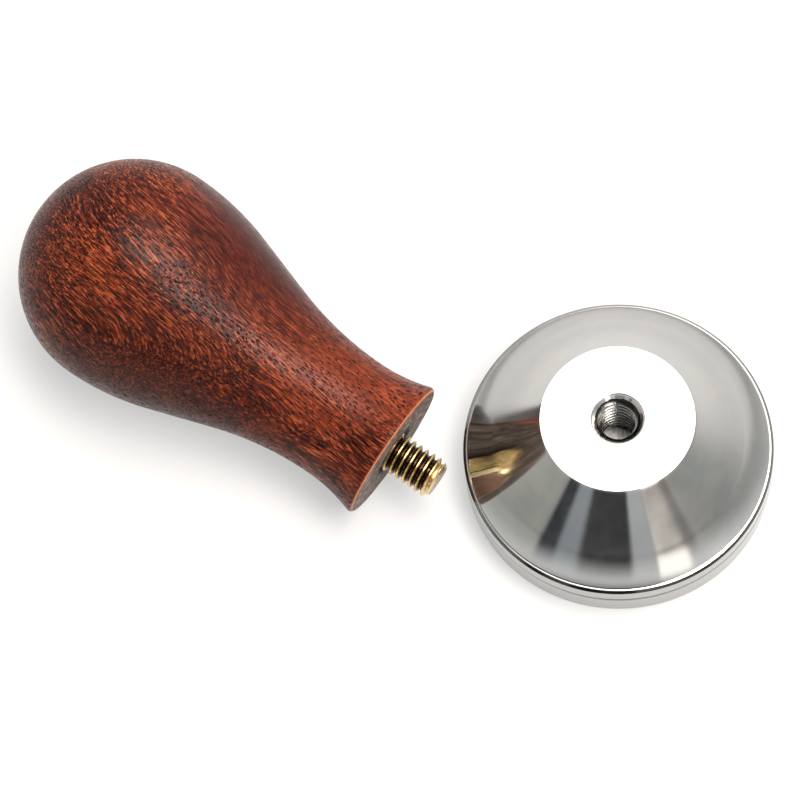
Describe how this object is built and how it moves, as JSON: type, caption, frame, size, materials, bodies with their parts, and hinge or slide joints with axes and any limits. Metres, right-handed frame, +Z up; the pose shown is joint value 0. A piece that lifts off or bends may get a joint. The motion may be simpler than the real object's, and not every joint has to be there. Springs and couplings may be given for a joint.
{
  "type": "espresso tamper",
  "caption": "Espresso tamper: conical steel base with a threaded hole, and a turned wooden handle with a hanger bolt, unscrewed and lying beside it.",
  "frame": {"origin": "centre of the base's tamping face, on the surface that the base stands on", "axes": "+Z up along the base's axis, out of its threaded hole; -X towards the lying handle; -Y the side that its stud points towards"},
  "size_m": [0.1349, 0.0959, 0.0443],
  "materials": {
    "polished_steel": "turned and mirror polished stainless steel",
    "lacquered_wood": "reddish-brown hardwood, satin lacquer, bare end grain at the bolt",
    "yellow_zinc_steel": "yellow zinc plated steel"
  },
  "bodies": {
    "base": {"tamper_base": "polished_steel"},
    "handle": {"wooden_handle": "lacquered_wood", "hanger_bolt": "yellow_zinc_steel"}
  },
  "joints": [
    {"name": "handle_swing", "type": "hinge", "parent": "base", "child": "handle", "pos_m": [-0.01874, 0.007, 0.02148], "axis": [-0.3156, 0.5942, 0.7398], "range_deg": [0, 152.15]}
  ]
}
